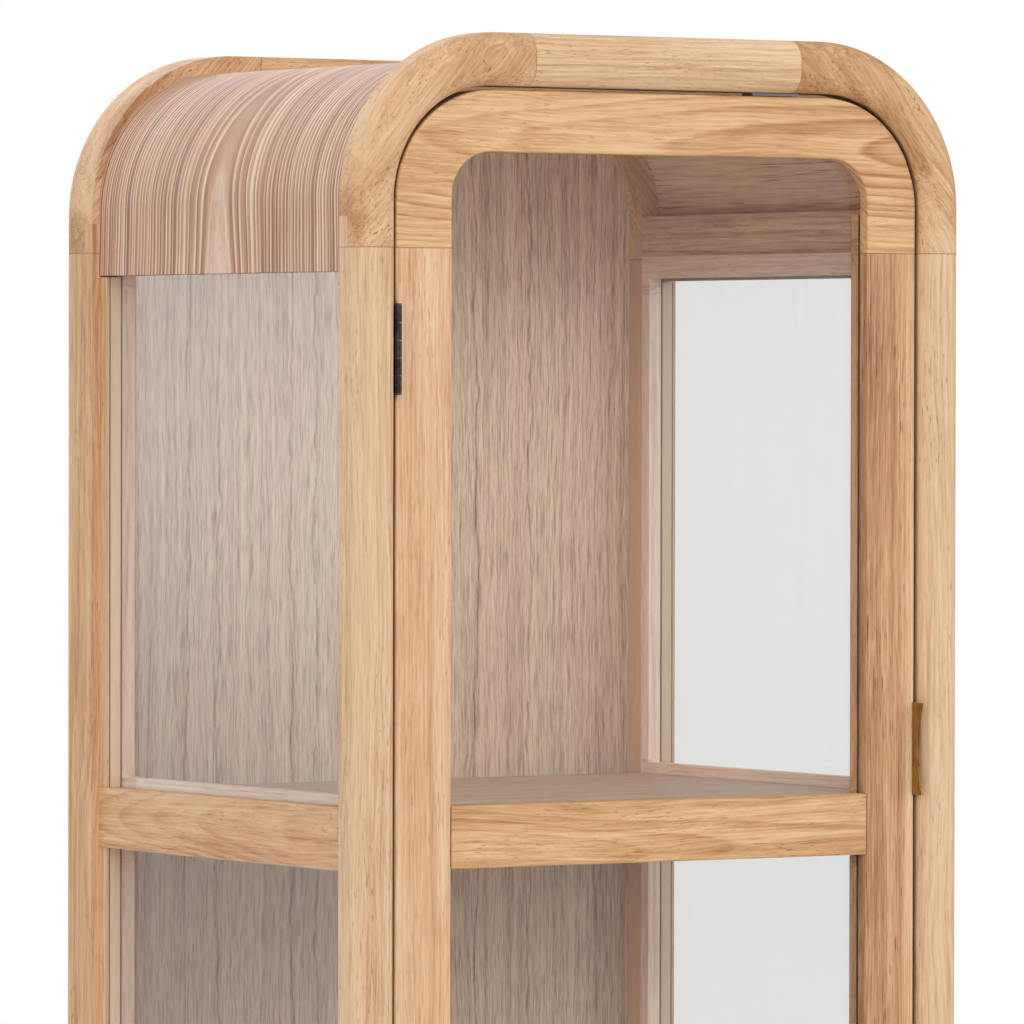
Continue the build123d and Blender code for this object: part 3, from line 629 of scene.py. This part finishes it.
def door():
    """Dresses the door's rails, stiles, lipping and beads."""
    stile_left, stile_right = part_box("door_upper_rail")[0].x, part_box("door_upper_rail")[1].x
    rail_lines = ((ACROSS, stile_left), (ACROSS, stile_right))
    wood("door_top_rail", DOOR, ACROSS, BACKWARD, 81, rings=210.0, pith=0.05, aside=-0.022, lean=-0.05,
         waviness=0.006, ring_share=0.8, pores=0.35, streaks=0.28, patches=0.15, glue_lines=joint_line,
         painted_gap_shade=True)
    wood("door_hinge_stile", PEACH, UP, BACKWARD, 82, rings=180.0, ring_share=0.3, pore_length=1.4,
         streaks=0.45, glue_lines=joint_line, painted_gap_shade=True)
    wood("door_pull_stile", BROWN, UP, BACKWARD, 83, rings=200.0, ring_share=0.35, pores=0.9,
         pore_length=2.0, glue_lines=joint_line, painted_gap_shade=True)
    wood("door_edge_lipping", PEACH, UP, BACKWARD, 84, glue_lines=joint_line, painted_gap_shade=True)
    for number, level in enumerate(RAIL_LEVELS[1:]):
        wood(f"door_{level}_rail", DOOR, ACROSS, BACKWARD, 85 + number, rings=240.0, pith=0.05, aside=0.012,
             lean=0.03, waviness=0.006, ring_share=0.6, glue_lines=rail_lines)
    wood("door_glass_beads", BROWN, UP, BACKWARD, 89, turned=ACROSS, bands=rail_bands("door_{}_rail"))


door()


def glass():
    """Clear float glass with a faint haze, which lets lamp light through."""
    f = Finish("clear_glass")
    haze = f.between(f.noise(f.place, scale=9.0, detail=3.0), 0.4, 0.7, 0.0, 0.012)
    f.shader.inputs["Base Color"].default_value = srgb(244, 245, 245)
    f.shader.inputs["Transmission Weight"].default_value = 1.0
    f.shader.inputs["IOR"].default_value = 1.45
    f.feed(f.shader.inputs["Roughness"], haze)
    f.see_through(f.add("ShaderNodeLightPath").outputs["Is Shadow Ray"], srgb(244, 246, 245))
    return f.material


clear_glass = glass()
panes = ("side_glass_left", "side_glass_right", "door_glass_upper", "door_glass_middle", "door_glass_lower")
for pane in panes:
    dress(pane, clear_glass)


def metal(name, colour, worn, roughness, metallic=1.0):
    """Small fittings: cloudy finish, fine scratches, paler on the rubbed edges."""
    f = Finish(name)
    cloud = f.noise(f.place, scale=130.0, detail=4.0, roughness=0.6)
    scratches = f.noise(f.vector("MULTIPLY", f.place, SCRATCH_WAVES))
    shade = f.mix(f.spread(cloud, 0.0, 0.35), colour, worn)
    shade = f.mix(f.times(f.edge_wear(METAL_WORN_EDGE), 0.8), shade, worn)
    uneven = f.spread(scratches, roughness - 0.08, roughness + 0.1)
    f.cover(shade, uneven, scratches, strength=0.15, depth=SCRATCH_RELIEF, edge=METAL_EDGE)
    f.shader.inputs["Metallic"].default_value = metallic
    return f.material


bronze = metal("dark_bronze", srgb(58, 50, 46), srgb(150, 142, 134), 0.34)
brass = metal("aged_brass", srgb(156, 114, 52), srgb(226, 198, 142), 0.30)
zinc = metal("bright_zinc", srgb(190, 190, 194), srgb(230, 230, 232), 0.28)
housing = metal("catch_grey", srgb(150, 150, 158), srgb(196, 196, 202), 0.45, metallic=0.3)
glide = metal("glide_plastic", srgb(52, 48, 45), srgb(84, 80, 76), 0.6, metallic=0.0)
hinges = ("hinge_frame_leaves", "hinge_door_leaves", "hinge_pins", "hinge_frame_screws", "hinge_door_screws")
for names, finish in (
    (hinges, bronze),
    (("edge_pull", "edge_pull_screws"), brass),
    (("catch_magnet", "catch_screws", "strike_plate", "strike_screw", "back_screws"), zinc),
    (("catch_housing",), housing),
    (("foot_glides",), glide),
):
    for node in names:
        dress(node, finish)


def floor():
    """A pale floor that keeps the cabinet's shadow and fades into the white surround."""
    mesh = bpy.data.meshes.new("floor")
    turns = [2 * math.pi * n / FLOOR_SIDES for n in range(FLOOR_SIDES)]
    rim = [(math.cos(turn) * FLOOR_RADIUS, math.sin(turn) * FLOOR_RADIUS, 0) for turn in turns]
    mesh.from_pydata(rim, [], [list(range(FLOOR_SIDES))])
    ground = bpy.data.objects.new("floor", mesh)
    bpy.context.scene.collection.objects.link(ground)
    f = Finish("pale_floor")
    grain = f.noise(f.place, scale=90.0, detail=3.0)
    colour = f.mix(f.spread(grain), FLOOR_COLOUR, FLOOR_SPECK)
    f.cover(colour, FLOOR_ROUGHNESS, grain, strength=0.1, depth=FLOOR_RELIEF)
    f.see_through(f.between(f.vector("LENGTH", f.place), FLOOR_FADE_START, FLOOR_FADE_END))
    mesh.materials.append(f.material)


def surround():
    """White where it is seen or looked at through glass. What shiny surfaces mirror is bright behind the
    left side and above the horizon, and dim elsewhere. The rest is a plain soft light."""
    world = bpy.data.worlds.new("surround")
    bpy.context.scene.world = world
    world.use_nodes = True
    s = Shading(world.node_tree)
    path = s.add("ShaderNodeLightPath")
    way = s.add("ShaderNodeTexCoord").outputs["Generated"]
    rising = s.math("POWER", s.between(s.dot(way, UP), HORIZON_LOW, HORIZON_HIGH), HORIZON_CURVE)
    mirrored = s.times(rising, s.between(s.dot(way, BRIGHT_SIDE), BRIGHT_START, BRIGHT_FULL))

    def light(strength):
        """White light of one strength."""
        node = s.add("ShaderNodeBackground")
        s.feed(node.inputs["Strength"], strength)
        node.inputs["Color"].default_value = (1, 1, 1, 1)
        return node.outputs[0]

    seen = s.math("MAXIMUM", path.outputs["Is Camera Ray"], path.outputs["Is Transmission Ray"])
    glossy = light(s.blend(mirrored, MIRRORED_LOW, MIRRORED_HIGH))
    unseen = s.choose(path.outputs["Is Glossy Ray"], light(WORLD_LEVEL), glossy)
    output = s.add("ShaderNodeOutputWorld")
    s.link(s.choose(seen, unseen, light(1.0)), output.inputs["Surface"])


def lamp(name, place, size, power, aim=LAMP_AIM, colour=(1, 1, 1)):
    """A soft box that points at a place. Its size is its width and height."""
    data = bpy.data.lights.new(name, "AREA")
    data.shape = "RECTANGLE"
    data.size, data.size_y = size
    data.energy = power * LAMP_SHARE
    data.color = colour
    light = bpy.data.objects.new(name, data)
    light.location = place
    light.rotation_euler = (Vector(aim) - Vector(place)).to_track_quat("-Z", "Y").to_euler()
    bpy.context.scene.collection.objects.link(light)


def camera():
    """The camera at the photograph's place, from its yaw, pitch and roll."""
    yaw, pitch, roll = (math.radians(angle) for angle in (CAMERA_YAW, CAMERA_PITCH, CAMERA_ROLL))
    forward = Vector((math.sin(yaw) * math.cos(pitch), math.cos(yaw) * math.cos(pitch), math.sin(pitch)))
    level = Vector((math.cos(yaw), -math.sin(yaw), 0))
    upright = level.cross(forward)
    right = level * math.cos(roll) + upright * math.sin(roll)
    up = upright * math.cos(roll) - level * math.sin(roll)
    data = bpy.data.cameras.new("camera")
    data.sensor_width = 36.0
    data.lens = CAMERA_LENS
    data.clip_start, data.clip_end = CAMERA_NEAR, CAMERA_FAR
    view = bpy.data.objects.new("camera", data)
    turn = Matrix((right, up, -forward)).transposed().to_4x4()
    view.matrix_world = Matrix.Translation(CAMERA_PLACE) @ turn
    bpy.context.scene.collection.objects.link(view)
    bpy.context.scene.camera = view


floor()
surround()
lamp("key", place=(-0.8, -4.1, 3.0), size=(2.8, 2.0), power=100)
lamp("side", place=(-3.6, -0.6, 2.4), size=(2.0, 2.4), power=42, colour=(1.0, 0.93, 0.85))
lamp("right", place=(3.4, -2.2, 2.5), size=(1.6, 2.2), power=52)
lamp("back", place=(0.6, 3.4, 2.6), size=(2.4, 2.0), power=40)
lamp("top", place=(0, -0.2, 4.2), size=(2.4, 2.4), power=26, aim=(0, 0, 1))
camera()
bpy.context.scene.view_settings.view_transform = "Standard"
